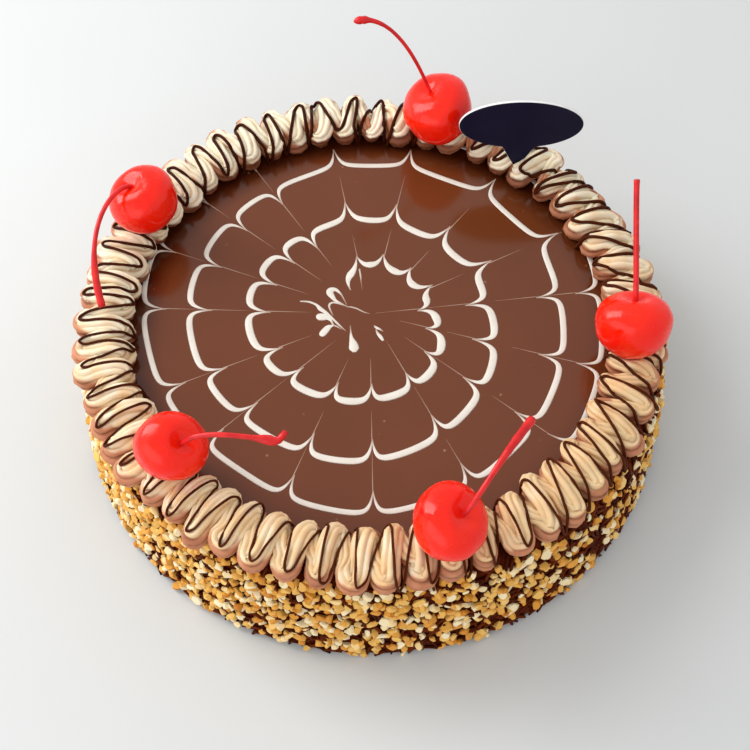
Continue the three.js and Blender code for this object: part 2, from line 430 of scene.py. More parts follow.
def shape_lists(form):
    """A small shape as plain lists: its points, its faces and whether each face is a cut."""
    bmesh.ops.recalc_face_normals(form, faces=form.faces)
    cut_mark = form.faces.layers.int["cut"]
    form.verts.index_update()
    points = [point.co.copy() for point in form.verts]
    faces = [[point.index for point in face.verts] for face in form.faces]
    cuts = [face[cut_mark] for face in form.faces]
    form.free()
    return points, faces, cuts


nut_chance = random.Random(11)
nut_shapes = [shape_lists(chopped_kernel(nut_chance)) for _ in range(NUT_SHAPES)]
print("Faces in each nut shape:", [len(faces) for _, faces, _ in nut_shapes])

# %% [markdown]
# ## Where the nuts go
#
# The side is unrolled into a grid with cells a little smaller than a nut, and each cell gets one nut near its
# middle. That covers the side evenly and still looks scattered. A slow noise decides where the coat is bare
# or holds chocolate vermicelli instead, and there is more of that at the front right and towards the foot.
# At the front right the extra bare coat is partly real and partly painted shade on that side.
# The copies are joined into one mesh, with each nut's roast kept on its points.

# %% Find places on the side
SIDE_TILT = (CAKE_BASE_RADIUS - CAKE_TOP_RADIUS) / SIDE_HEIGHT
BARE_ANGLE = radians(-38)
BARE_FOOT = 20


def on_side(angle, climb):
    """A place this far up the side and over the shoulder, and the way straight out of it."""
    over = max(0, climb - SIDE_HEIGHT) / CAKE_SHOULDER
    height = min(climb, SIDE_HEIGHT) + CAKE_SHOULDER * sin(over)
    radius = CAKE_BASE_RADIUS - SIDE_TILT * min(climb, SIDE_HEIGHT) - CAKE_SHOULDER * (1 - cos(over))
    outward = Vector((*polar(angle, cos(over)), SIDE_TILT + sin(over))).normalized()
    return Vector((*polar(angle, radius), height)), outward


def lying(place, outward, spin, tilt, scale):
    """The transform that lays a shape on a surface, turned by spin and tipped by tilt."""
    upright = outward.to_track_quat("Z", "Y").to_matrix().to_4x4()
    turn = Matrix.Rotation(spin, 4, "Z") @ Matrix.Rotation(tilt, 4, "X")
    return Matrix.Translation(place) @ upright @ turn @ Matrix.Diagonal((*scale, 1))


def bareness(angle, height):
    """How far the coat is vermicelli and bare chocolate here, from 0 to 1."""
    patch = noise(Vector((*polar(angle, 26), height * 0.24)))
    finer = noise(Vector((*polar(angle, 60), 9 + height * 0.6)))
    # Partly real and partly painted shade: more bare coat and vermicelli towards the front right.
    rightward = max(0, cos(angle - BARE_ANGLE)) ** 4
    footward = max(0, 1 - height / BARE_FOOT)
    return 0.20 + 0.36 * patch + 0.34 * finer + 0.40 * rightward + 0.30 * footward


print("The side leans in by", round(degrees(atan(SIDE_TILT)), 1), "degrees")

# %% Scatter the nuts
NUT_ROWS = 18
NUT_COLUMNS = 240
LOWEST_NUT = 1.2
NUT_CLIMB = SIDE_HEIGHT + 2.6

nut_layout = []
vermicelli_spots = []
for row in range(NUT_ROWS):
    for column in range(NUT_COLUMNS):
        angle = (column + 0.5 * (row % 2) + nut_chance.uniform(-0.45, 0.45)) / NUT_COLUMNS * 2 * pi
        height = LOWEST_NUT + (row + 0.5 + nut_chance.uniform(-0.5, 0.5)) / NUT_ROWS * NUT_CLIMB
        if nut_chance.random() < bareness(angle, height):
            vermicelli_spots.append((angle, height))
            continue
        length = nut_chance.triangular(1.1, 2.9, 2.0)
        scale = (length, length * nut_chance.uniform(0.7, 1.0), length * nut_chance.uniform(0.55, 0.8))
        place, outward = on_side(angle, height)
        place += outward * nut_chance.uniform(0.0, 1.1)
        spin = nut_chance.uniform(0, 2 * pi)
        tilt = nut_chance.gauss(0, 0.5)
        roast = nut_chance.betavariate(1.1, 1.1)
        nut_layout.append((nut_chance.randrange(NUT_SHAPES), lying(place, outward, spin, tilt, scale), roast))
print(len(nut_layout), "nuts and", len(vermicelli_spots), "spots for vermicelli")

# %% Join and finish the nuts


def joined(shapes, layout):
    """One mesh of many copies, cut off level with the foot of the cake. A layout row is the shape's number,
    its transform and its tint."""
    points, faces, tints, cuts = [], [], [], []
    for number, transform, tint in layout:
        shape_points, shape_faces, shape_cuts = shapes[number]
        first = len(points)
        points.extend(transform @ point for point in shape_points)
        faces.extend([first + index for index in face] for face in shape_faces)
        tints.extend([tint] * len(shape_points))
        cuts.extend(shape_cuts)
    for point in points:
        point.z = max(point.z, 0.0)
    mesh = bpy.data.meshes.new("joined")
    mesh.from_pydata(points, [], faces)
    store(mesh, "tint", tints)
    store(mesh, "cut", cuts, "FACE")
    mesh.polygons.foreach_set("use_smooth", [cut == 0 for cut in cuts])
    mesh.update()
    return mesh


nut = new_finish("nut_flesh", Roughness=0.45, Specular_IOR_Level=0.15)
tint = stored(nut, "tint")
inside = ramp(nut, tint, (0.14, (0.93, 0.80, 0.52)), (0.42, (0.87, 0.54, 0.14)), (1, (0.72, 0.31, 0.035)))
pale_stops = (0.12, (0.92, 0.76, 0.45)), (0.32, (0.88, 0.55, 0.17))
roast_stops = (0.6, (0.77, 0.345, 0.055)), (1, (0.50, 0.14, 0.010))
worn = span(nut, grain(nut, 600), 0, 0.5, 0.35, 0.7)
skin = blended(nut, worn, ramp(nut, tint, *pale_stops, *roast_stops), inside)
set_shader(nut, Base_Color=blended(nut, "cut", skin, inside))
roughened(nut, 1500, 0.0002, 0.4)
add_piece("chopped_nuts", joined(nut_shapes, nut_layout), nut, "nut_coat")

# %% [markdown]
# ## Chocolate vermicelli
#
# Between the nuts lie short rods of chocolate, about a millimetre thick. A cone with equal ends makes a rod,
# its ends are drawn in, and a bend through the middle keeps it from looking like a cut wire.

# %% Scatter the vermicelli
ROD_SHAPES = 4
ROD_END = 0.72


def chocolate_rod(chance):
    form = bmesh.new()
    bmesh.ops.create_cone(form, cap_ends=True, segments=6, radius1=0.5, radius2=0.5, depth=1.0)
    form.faces.layers.int.new("cut")
    long_edges = [edge for edge in form.edges if abs(edge.verts[0].co.z - edge.verts[1].co.z) > 0.5]
    bmesh.ops.subdivide_edges(form, edges=long_edges, cuts=2, use_grid_fill=True)
    bend = chance.uniform(-0.35, 0.35)
    for point in form.verts:
        point.co.x += bend * (1 - 4 * point.co.z**2)
        if abs(point.co.z) > 0.45:
            point.co.x *= ROD_END
            point.co.y *= ROD_END
    bmesh.ops.rotate(form, cent=(0, 0, 0), matrix=Matrix.Rotation(pi / 2, 3, "Y"), verts=form.verts)
    return form


rod_chance = random.Random(5)
rod_shapes = [shape_lists(chocolate_rod(rod_chance)) for _ in range(ROD_SHAPES)]
rod_layout = []
for angle, height in vermicelli_spots:
    place, outward = on_side(angle, height)
    place += outward * rod_chance.uniform(0.1, 0.9)
    width = rod_chance.uniform(1.0, 1.4)
    scale = (rod_chance.uniform(3.5, 7.0), width, width)
    transform = lying(place, outward, rod_chance.uniform(0, 2 * pi), rod_chance.gauss(0, 0.2), scale)
    rod_layout.append((rod_chance.randrange(ROD_SHAPES), transform, rod_chance.random()))

rod = new_finish("rod_chocolate", Roughness=0.4, Specular_IOR_Level=0.03)
dark = ramp(rod, stored(rod, "tint"), (0, (0.045, 0.005, 0.0008)), (1, (0.150, 0.024, 0.004)))
set_shader(rod, Base_Color=dark)
roughened(rod, 1800, 0.0001, 0.3)
add_piece("vermicelli", joined(rod_shapes, rod_layout), rod, "nut_coat")

# %% [markdown]
# ## The poured glaze
#
# The glaze is a thin disc of chocolate, poured warm, so that it set flat and shiny. It could be a plain
# cylinder, but spinning a profile gives the rim its round edge. The gloss comes from a low roughness. The
# finish is a little uneven and has a few pale specks, where tiny bubbles dried. Near the border it is darkened
# with painted shade, most of all at the back, so its points keep how far they lie under the cream.

# %% Pour the glaze
GLAZE_FOOT = 45.3
GLAZE_TOP = 47.0
GLAZE_RADIUS = 94.0
GLAZE_SIDES = 160
DARK_FROM = 77
DARK_WIDTH = 7

glaze_profile = [(0, GLAZE_FOOT), (GLAZE_RADIUS - 0.6, GLAZE_FOOT), (GLAZE_RADIUS, 46), (GLAZE_RADIUS - 0.2, 46.6)]
glaze_profile += [(radius, GLAZE_TOP) for radius in (GLAZE_RADIUS - 0.8, 88, 85, 82, 79, 76, 40, 0)]
glaze_mesh = mesh_from(turned(glaze_profile, GLAZE_SIDES))
across, along, _ = points_of(glaze_mesh).T
reach = np.hypot(across, along)
# Painted shade: the glaze is darkened towards the foot of the border, most of all at the back.
backward = np.clip(0.65 + (0.6 * along - 0.2 * across) / np.maximum(reach, 1), 0, 1)
store(glaze_mesh, "painted_border_shade", np.clip((reach - DARK_FROM) / DARK_WIDTH, 0, 1) * backward)

glaze = new_finish("glaze_chocolate", Roughness=0.14, Specular_IOR_Level=0.42)
open_tone = mottled(glaze, 22, (0.129, 0.0315, 0.008), (0.148, 0.037, 0.0105))
painted_shade_tone = mottled(glaze, 22, (0.036, 0.005, 0.0008), (0.050, 0.008, 0.0016))
poured = blended(glaze, "painted_border_shade", open_tone, painted_shade_tone)
speck = span(glaze, texture(glaze, "Voronoi", Scale=95)["Distance"], 1, 0, 0.03, 0.055)
pale = ramp(glaze, grain(glaze, 40), (0.45, (0.16, 0.05, 0.02)), (0.62, (0.34, 0.19, 0.11)))
set_shader(glaze, Base_Color=blended(glaze, speck, poured, pale))
roughened(glaze, 45, 0.0002, 0.12)
add_piece("glaze", glaze_mesh, glaze, "glaze", "chocolate_glaze")

# %% [markdown]
# ## The feathered web
#
# A spiral of white icing is piped on the wet glaze, and then a skewer is drawn through it along sixteen
# spokes. Most strokes run towards the middle and four at the back run outwards. Each stroke drags the line
# along with it, so between two spokes the line stays a thick, nearly straight arc, and at the spokes it is
# pulled out to a hairline. That is modelled as it happened: the spiral's radius is worked out first, then
# each point is dragged by an amount that falls off with its distance from the nearest spoke.

# %% Draw the spiral
EIGHTH = 45
# The spiral's radius at each eighth of a turn, from the left by way of the back
SPIRAL_EIGHTHS = (
    (19.8, 20.5, 24.2, 20.8, 24.4, 30.8, 34.9, 39.9)
    + (46.2, 48.5, 46.4, 42.4, 44.2, 50.0, 58.4, 61.6)
    + (67.3, 72.6, 74.6, 72.2, 69.3, 71.8, 78.2, 77.2)
    + (83.4, 93.0, 92.0, 91.5, 83.2, 85.4, 88.0, 90.0)
)


def smoothly(before, here, after, beyond, t):
    """A value between here and after, on a Catmull-Rom line through all four."""
    return (
        here
        + 0.5 * t * (after - before)
        + 0.5 * t**2 * (2 * before - 5 * here + 4 * after - beyond)
        + 0.5 * t**3 * (3 * here - before - 3 * after + beyond)
    )


def spiral_radius(eighths):
    """The spiral's radius after this many eighths of a turn."""
    first = min(int(eighths), len(SPIRAL_EIGHTHS) - 3)
    nearby = [SPIRAL_EIGHTHS[max(0, index)] for index in range(first - 1, first + 3)]
    return smoothly(*nearby, eighths - first)


print("A spiral of", len(SPIRAL_EIGHTHS) / 8, "turns")

# %% Draw the spokes
SPOKE_BEARINGS = (0, 26.6, 51.7, 75.8, 99.5, 120, 144.7, 169.8, 190.8, 212.5, 229, 247, 266, 292, 311.6, 337.4)
OUTWARD_BEARINGS = (120, 144.7, 169.8, 190.8)
SPOKE_MEET = Vector((-1.3, 3.1))
SPOKE_REACH = 80.0


def compass(bearing, radius):
    """A place on the top of the cake. Bearings run from the front towards the right."""
    turn = radians(bearing)
    return Vector((radius * sin(turn), -radius * cos(turn)))


def nominal_bearing(number):
    return SPOKE_BEARINGS[number % len(SPOKE_BEARINGS)]


def spoke_bearing(number, radius):
    """The bearing at which a spoke crosses a circle round the middle of the cake."""
    along = (compass(nominal_bearing(number), SPOKE_REACH) - SPOKE_MEET).normalized()
    reach = -SPOKE_MEET.dot(along)
    reach += sqrt(max(0, SPOKE_MEET.dot(along) ** 2 - SPOKE_MEET.length_squared + radius * radius))
    crossing = SPOKE_MEET + along * reach
    return degrees(atan2(crossing.x, -crossing.y)) % 360


def spoke_way(number):
    """1 for a spoke that was drawn outwards, and -1 for one drawn to the middle."""
    return 1 if nominal_bearing(number) in OUTWARD_BEARINGS else -1


print(len(SPOKE_BEARINGS), "spokes,", len(OUTWARD_BEARINGS), "of them drawn outwards")

# %% Drag the icing along the spokes
ICING_HALF_WIDTH = 1.9
ICING_THINNING = 0.0055
HAIRLINE = 0.19
MOST_DRAG = 9.5
ARC_STEPS = 40
CHORD_SHARE = 0.7
SPIRAL_START = 270
FIRST_BEARING = 212.5
FIRST_RADIUS = 21
UNUSED_EIGHTHS = 3.2

web = new_curve(8)
web_radii = []


def lay_icing(points, radii):
    """Adds a flat strand to the web, with half its width at each point."""
    add_strand(web, [(*point, 0) for point in points], radii)
    web_radii.extend(radii)


def drag(distance, strength):
    """How far the icing is pulled at this distance from a spoke."""
    return strength * (0.74 * exp(-distance / 1.1) + 0.26 * exp(-distance / 4.0))


def web_arc(eighths, number):
    """Lays the arc from one spoke to the next, clockwise. Returns where the spiral is then, and the arc's tip."""
    radius = spiral_radius(eighths)
    start = spoke_bearing(number, radius)
    sweep = (start - spoke_bearing(number - 1, radius)) % 360
    points, radii = [], []
    for step in range(ARC_STEPS + 1):
        share = step / ARC_STEPS
        eased = share - 0.9 * sin(2 * pi * share) / (2 * pi)
        arc_radius = spiral_radius(eighths + sweep * eased / EIGHTH)
        strength = min(MOST_DRAG, 2.5 + 0.16 * arc_radius)
        before = radians(sweep * eased) * arc_radius
        after = radians(sweep * (1 - eased)) * arc_radius
        pulled = spoke_way(number) * drag(before, strength) + spoke_way(number - 1) * drag(after, strength)
        sagitta = arc_radius * (1 - cos(radians(sweep / 2)))
        flat = CHORD_SHARE * sagitta * sin(pi * eased)
        points.append(compass(start - sweep * eased, arc_radius + pulled - flat))
        full = ICING_HALF_WIDTH * (1 - ICING_THINNING * arc_radius)
        radii.append(HAIRLINE + (full - HAIRLINE) * (1 - exp(-((min(before, after) / 2.3) ** 1.3))))
    lay_icing(points, radii)
    return eighths + sweep / EIGHTH, (number - 1, arc_radius + pulled)


tips = []
spoke = SPOKE_BEARINGS.index(FIRST_BEARING)
eighths = (SPIRAL_START - spoke_bearing(spoke, FIRST_RADIUS)) / EIGHTH
while eighths < len(SPIRAL_EIGHTHS) - UNUSED_EIGHTHS:
    eighths, tip = web_arc(eighths, spoke)
    tips.append(tip)
    spoke -= 1
print(len(tips), "arcs, to", round(eighths / 8, 2), "turns of the spiral")

# %% [markdown]
# ## The marks in the middle and the hairlines
#
# Where the spiral began, the skewer's strokes crowd together and leave drops, loops and tails. These are drawn
# as short strands with a half width at each point. From the tips of the arcs, faint hairlines run on along
# the spokes.

# %% Add the marks in the middle
MARK_STEPS = 4
THINNEST_MARK = 0.05
# Each mark is a strand of (x, y, half width)
MIDDLE_MARKS = (
    # a looped drop with a long tail
    (
        (-9.5, 6.7, 0.12), (-10.7, 9.6, 0.22), (-11.9, 12.0, 0.35), (-13.8, 13.9, 0.8), (-15.5, 13.6, 1.35),
        (-15.8, 12.4, 1.35), (-14.9, 10.7, 1.0), (-13.7, 9.0, 0.6), (-11.8, 7.8, 0.32), (-9.5, 6.3, 0.22),
        (-8.1, 6.1, 0.3), (-6.0, 5.4, 0.3), (-3.5, 3.9, 0.25), (-1.0, 3.0, 0.1),
    ),
    # a thin hook under it
    (
        (-10.4, 6.7, 0.2), (-12.7, 7.7, 0.35), (-14.6, 8.1, 0.4), (-15.8, 7.4, 0.42), (-15.9, 5.8, 0.35),
        (-14.4, 2.0, 0.1),
    ),
    # the drop on the left
    (
        (-20.6, 1.6, 0.5), (-19.8, 1.7, 1.45), (-18.2, 1.7, 1.6), (-16.6, 1.5, 1.3), (-15.3, 0.2, 0.5),
        (-14.3, -1.8, 0.3), (-13.1, -2.5, 0.3), (-11.2, -3.9, 0.1),
    ),
    # the line that leads into the spiral
    (
        (-26.6, 8.7, 0.3), (-23.4, 8.4, 0.42), (-20.7, 7.1, 0.5), (-19.2, 5.3, 0.85), (-17.3, 3.7, 0.7),
        (-14.9, 1.2, 0.45), (-12.6, -1.5, 0.4), (-9.6, -4.7, 0.1),
    ),
    # the drop below it
    (
        (-18.9, -6.6, 0.5), (-18.3, -5.9, 1.25), (-17.3, -4.5, 1.35), (-16.2, -3.0, 1.15), (-15.1, -2.3, 0.6),
        (-14.0, -2.0, 0.25),
    ),
    # the large drop at the front
    (
        (-6.7, -13.6, 0.6), (-6.8, -12.2, 1.75), (-7.0, -10.6, 1.7), (-7.5, -8.7, 1.1), (-7.9, -7.0, 0.6),
        (-8.1, -4.5, 0.27), (-8.3, -2.0, 0.15),
    ),
    # two small marks to the right of the middle
    ((0.1, -1.9, 0.12), (1.1, -3.0, 0.5), (2.3, -3.7, 0.4), (3.6, -4.7, 0.12)),
    ((0.9, -3.7, 0.2), (1.5, -5.4, 0.45), (2.5, -6.9, 0.7), (3.5, -8.7, 0.45)),
    # a tail inside the first arc
    ((-5.2, 23.5, 0.3), (-4.7, 20.0, 0.3), (-4.5, 17.4, 0.14), (-4.1, 13.9, 0.05)),
)


def smooth_line(knots, steps, closed):
    """A smooth line through the knots, with this many steps between two of them."""
    knots = np.array(knots, dtype=float)
    if not closed:
        knots = np.vstack((2 * knots[0] - knots[1], knots, 2 * knots[-1] - knots[-2]))
    before, after, beyond = (np.roll(knots, shift, axis=0) for shift in (1, -1, -2))
    pieces = [smoothly(before, knots, after, beyond, step / steps) for step in range(steps)]
    line = np.stack(pieces, axis=1).reshape(-1, knots.shape[1])
    return line if closed else line[steps : -2 * steps + 1]


for mark in MIDDLE_MARKS:
    line = smooth_line(mark, MARK_STEPS, closed=False)
    lay_icing(line[:, :2], np.maximum(line[:, 2], THINNEST_MARK))
print(len(MIDDLE_MARKS), "marks in the middle")

# %% Add the hairlines and finish the icing
HAIR_ENDS = (3.0, 82.0)
HAIR_FADES = (0.95, 0.85, 0.75, 0.6, 0.45, 0.2)
ICING_FLATNESS = 0.16
ICING_LIFT = 0.02

hair_chance = random.Random(3)
for number, tip_radius in tips:
    way = spoke_way(number)
    first = tip_radius - 1.5 * way
    last = np.clip(tip_radius + way * hair_chance.uniform(9, 16), *HAIR_ENDS)
    if (last - first) * way < 2:
        continue
    line = [compass(spoke_bearing(number, radius), radius) for radius in np.linspace(first, last, len(HAIR_FADES))]
    lay_icing(line, [HAIRLINE * fade for fade in HAIR_FADES])

web_mesh = mesh_of_curve(web)
web_sides = len(web_mesh.vertices) // len(web_radii)
print("Web of", len(web_radii), "rings with", web_sides, "sides")
store(web_mesh, "half_width", np.repeat(web_radii, web_sides))
places = points_of(web_mesh)
places[:, 2] = GLAZE_TOP + ICING_LIFT + ICING_FLATNESS * places[:, 2]
move_points(web_mesh, places)

icing = new_finish("white_icing", Roughness=0.3, Specular_IOR_Level=0.4)
thick = mottled(icing, 180, (0.72, 0.66, 0.58), (0.79, 0.74, 0.66))
stained = mottled(icing, 90, (0.29, 0.14, 0.085), (0.38, 0.21, 0.135))
covering = span(icing, stored(icing, "half_width"), 0, 1, 0.1, 0.5)
set_shader(icing, Base_Color=blended(icing, covering, stained, thick))
add_piece("icing_web", web_mesh, icing, "cream")

# %% [markdown]
# ## The piped border
#
# The border is one long strand of cream from a star nozzle, laid in a zigzag: in towards the middle, a turn,
# and back out over the edge of the cake, fifty-six times. The flutes that the nozzle cuts run round each
# turn like the rings of a fan, and only a true sweep of the star section along the zigzag shows that. So a
# curve is drawn through one stroke's knots, repeated round the cake, and the star is its bevel.

# %% Draw the star section
SECTION_POINTS = 48
SECTION_TURNS = [index / SECTION_POINTS * 2 * pi for index in range(SECTION_POINTS)]
STRAND_HALF_WIDTH = 3.5
STRAND_HALF_HEIGHT = 4.8
SQUARENESS = 2.5
GROOVE_HALF_ANGLE = 17
# Where the nozzle's teeth cut the strand, in degrees round it, and how deep
GROOVES = (
    (22.5, 0.24), (67.5, 0.17), (112.5, 0.17), (157.5, 0.24),
    (202.5, 0.24), (247.5, 0.16), (292.5, 0.16), (337.5, 0.24),
)


def groove_depth(turn):
    """How far the section is cut in at this angle."""
    depth = 0.0
    for middle, cut in GROOVES:
        apart = abs((degrees(turn) - middle + 180) % 360 - 180)
        depth = max(depth, cut * max(0, 1 - apart / GROOVE_HALF_ANGLE) ** 1.4)
    return depth


section = bpy.data.curves.new("star_section", "CURVE")
section.dimensions = "2D"
outline = []
for turn in SECTION_TURNS:
    square = (abs(cos(turn)) ** SQUARENESS + abs(sin(turn)) ** SQUARENESS) ** (-1 / SQUARENESS)
    reach = square * (1 - groove_depth(turn))
    outline.append((STRAND_HALF_WIDTH * reach * cos(turn), STRAND_HALF_HEIGHT * reach * sin(turn), 0))
add_strand(section, outline, [1] * SECTION_POINTS, closed=True)
nozzle = in_scene("star_section", section)
print("Star section with", len(GROOVES), "grooves and", SECTION_POINTS, "points")

# %% [markdown]
# ## The zigzag
#
# One stroke turns over the edge of the cake, comes in along the top and turns back above the glaze. At the back,
# the leg that runs outwards lies higher than at the front. Every stroke slips, stretches and rolls a little in
# its own way.

# %% Plan the strokes
LOBES = 56
BORDER_CENTRE = (-1.2, -0.4)
BORDER_MIDDLE = 93
HALF_STROKE = 6
WIDER_SHARE = 0.07
WIDER_ANGLE = radians(35)
BACK_LEFT = radians(115)
BACK_RISE = 1.7
BACK_SWELL = 0.16
# How much strokes differ in place, outer length, inner length, height, fullness and roll
STROKE_SPREADS = (0.055, 0.6, 0.5, 0.35, 0.06, 0.4)
# How much knots differ in radius, place, height, fullness and roll
KNOT_SPREADS = (0.1, 0.009, 0.08, 0.015, 0.05)
# A knot of a stroke is how far on it is, as a share of a lobe, then its radius, height and swell, and how far
# the mocha is turned up
STROKE = (
    (-0.175, 97.4, 50.4, 0.90, 0), (-0.155, 99.2, 49.8, 0.96, 0), (-0.10, 100.7, 49.2, 1.02, 0),
    (-0.03, 101.4, 48.9, 1.06, 0), (0.04, 101.3, 49.0, 1.07, 0), (0.10, 100.4, 49.5, 1.06, 0),
    (0.145, 98.6, 50.5, 1.05, 0), (0.17, 96.2, 51.8, 1.05, 0), (0.20, 93.2, 52.8, 1.05, 0),
    (0.24, 90.4, 53.0, 1.04, 0), (0.29, 88.2, 52.3, 1.03, 0), (0.37, 87.0, 51.3, 1.00, 0.1),
    (0.47, 87.0, 50.7, 0.95, 0.5), (0.56, 88.5, 50.6, 0.90, 1.1), (0.64, 90.6, 50.8, 0.86, 0.8),
    (0.70, 93.1, 51.2, 0.86, 0.3), (0.76, 95.3, 51.2, 0.87, 0),
)


def lobe_angle(lobes):
    """The angle round the cake after this many lobes from the front. They are wider at the back on the right."""
    even = lobes / LOBES * 2 * pi - pi / 2
    return even + WIDER_SHARE * sin(even - WIDER_ANGLE)


def on_border(angle, radius):
    """A place on the border's ring, which was piped a little to the left."""
    return tuple(np.add(BORDER_CENTRE, polar(angle, radius)))


def slips(spreads):
    return [pipe_chance.gauss(0, spread) for spread in spreads]


pipe_chance = random.Random(21)
knots, swells, tilts, mocha_shares = [], [], [], []
for lobe in range(LOBES):
    slip, longer, inner_longer, lift, fuller, roll = slips(STROKE_SPREADS)
    for on, radius, height, swell, mocha_share in STROKE:
        out, onward, up, swollen, rolled = slips(KNOT_SPREADS)
        outer_share = (radius - BORDER_MIDDLE) / HALF_STROKE
        radius += max(0, outer_share) * longer - max(0, -outer_share) * inner_longer
        angle = lobe_angle(lobe + on + slip + onward)
        backward = max(0, cos(angle - BACK_LEFT))
        height += lift + max(0, outer_share) * 0.9 * backward
        if on < -0.05 or on > 0.6:
            height += BACK_RISE * backward
            swell += BACK_SWELL * backward
        knots.append((*on_border(angle, radius + out), height + up))
        swells.append(swell * (1 + fuller) * (1 + swollen))
        tilts.append(roll + rolled)
        mocha_shares.append(mocha_share)
print(len(knots), "knots in", LOBES, "strokes")

# %% Pipe the zigzag
border_curve = new_curve()
border_curve.bevel_mode = "OBJECT"
border_curve.bevel_object = nozzle
border_strand = add_strand(border_curve, knots, swells, closed=True, kind="NURBS")
border_strand.order_u = 4
border_strand.resolution_u = 2
for knot, tilt in zip(border_strand.points, tilts):
    knot.tilt = tilt
border_mesh = mesh_of_curve(border_curve)
bpy.data.objects.remove(nozzle)
border_places = points_of(border_mesh)
rings = border_places.reshape(-1, SECTION_POINTS, 3)
print(len(rings), "rings along the strand; crest at", round(border_places[:, 2].max(), 1), "mm")

# %% [markdown]
# ## Cherries press into the cream
#
# Before the border is finished, it makes room: cream under a cherry is squeezed out of the way. The cherries'
# places are needed for that, so they are listed here. A point of the cream that lies inside a cherry is moved
# straight out to the fruit's skin.

# %% List the cherries
CHERRY_HEIGHT = 65.5
CHERRY_TALLNESS = 0.93
# The depth is how long a cherry is from front to back as a share of its width, the lean is that of its dimple,
# and the stem's bend and tip are offsets from the cherry's centre
Cherry = namedtuple("Cherry", "bearing reach radius depth lean stem bend tip")
CHERRIES = (
    Cherry(14.7, 92.6, 11.8, 1.07, (0.6, -0.17), 0.9, (12, 7.4, 19.9), (26, 26.9, 17.3)),
    Cherry(80.5, 90.0, 13.1, 0.93, (0.0, 0.6), 1.0, (-1.1, 25.1, 27.6), (-1.9, 31.1, 38.8)),
    Cherry(163.8, 89.2, 13.0, 1.13, (-0.42, 0.15), 0.7, (-15.7, 6, 45.4), (-32, 2.4, 41.8)),
    Cherry(244.2, 92.7, 12.4, 1.04, (-0.4, 0.06), 0.85, (-20.2, -18.7, 15.1), (-11.1, -44.3, -4.6)),
    Cherry(313.8, 90.6, 12.2, 0.88, (0.74, -0.41), 0.85, (7.5, -3.9, 19.8), (34.9, -5.8, 13.7)),
)


def cherry_centre(cherry):
    return Vector((*compass(cherry.bearing, cherry.reach), CHERRY_HEIGHT))


def press_in(places, gap):
    """Moves every point that lies in a cherry out to its skin."""
    for cherry in CHERRIES:
        centre = np.array(cherry_centre(cherry))
        offset = places - centre
        distance = np.linalg.norm(offset / np.array((1, cherry.depth, CHERRY_TALLNESS)), axis=1)
        inside = distance < cherry.radius + gap
        offset[inside] *= ((cherry.radius + gap) / np.maximum(distance[inside], 0.01))[:, None]
        places[inside] = centre + offset[inside]
    return places


print(len(CHERRIES), "cherries listed")

# %% [markdown]
# ## Two tones of cream
#
# The bag held cream above and mocha below. So mocha shows low down, on the outer side and where a stroke turns
# back at its inner end, and it wanders a little. The grooves are browner. Under the inner ends, most of all at
# the back, the mocha is darkened with painted shade. The front is made warmer than the back with painted warm
# light, over a real mottle of pale and peach cream. All of this is kept on the points, for the finish to read.

# %% Tint the border


def ring_radius(places):
    """How far places lie from the middle of the border's ring."""
    return np.hypot(places[..., 0] - BORDER_CENTRE[0], places[..., 1] - BORDER_CENTRE[1])


middles = rings.mean(axis=1)
x, y = middles[:, :1], middles[:, 1:2]
ring_reach = ring_radius(middles)[:, None]
outwards = rings - middles[:, None, :]
up_share = outwards[:, :, 2] / STRAND_HALF_HEIGHT
outer = (ring_reach - BORDER_MIDDLE) / 4
out_share = (ring_radius(rings) - ring_reach) / STRAND_HALF_WIDTH * np.clip(outer, -0.3, 1)
along_strand = np.cumsum(np.linalg.norm(np.diff(middles, axis=0, prepend=middles[-1:]), axis=1))
wander = np.array([noise(Vector((0.1 * length, 0, 4))) for length in along_strand])[:, None]
nearest_knot = [np.linalg.norm(np.array(knots) - middle, axis=1).argmin() for middle in middles]
turned_up = np.array(mocha_shares)[nearest_knot][:, None] * (0.7 + 0.003 * (x + y))
leftward = np.clip(-x / 80 - 0.2, 0, 1) * np.clip(-outer, 0, 1)
lean_of_mocha = out_share - up_share + 0.35 * wander + turned_up - 0.7 * leftward
mocha = np.clip(0.5 + (lean_of_mocha - 0.02) / 0.18, 0, 1)
store(border_mesh, "mocha", mocha.ravel())
# Painted shade: the mocha under a stroke's inner end is darkened, most of all at the back, where the cream
# overhangs it.
shaded = np.clip((90 - ring_reach) / 3, 0, 1) * np.clip(0.5 + (y - 0.5 * x) / 120, 0.2, 1)
store(border_mesh, "shaded", np.repeat(shaded.ravel(), SECTION_POINTS))
# Painted warm light: the cream is warmed towards the front and right, and the noise adds a real mottle of pale and
# peach cream.
painted_warm_light = 0.18 * border_places[:, 0] - 0.72 * np.maximum(border_places[:, 1], -45)
store(border_mesh, "warm_light_and_mottle", 0.40 + painted_warm_light / 95 + 0.5 * bumps(border_places, 0.22, 30))
print("Share of mocha in the strand:", round(float(mocha.mean()), 2))

# %% Streak and dent the border
streaks = np.array(
    [[noise(Vector((*polar(turn, 3), 0.22 * length))) for turn in SECTION_TURNS] for length in along_strand]
)
grooves = np.array([3.4 * groove_depth(turn) for turn in SECTION_TURNS]) + 0.9 * np.maximum(0, streaks - 0.1)
store(border_mesh, "groove", grooves.ravel())
outwards = (outwards / np.linalg.norm(outwards, axis=2, keepdims=True)).reshape(-1, 3)
dents = 0.5 * bumps(border_places, 0.2) + 0.2 * bumps(border_places, 0.7)
move_points(border_mesh, press_in(border_places + outwards * dents[:, None], gap=0.25))
print("Deepest dent:", round(-dents.min(), 2), "mm")

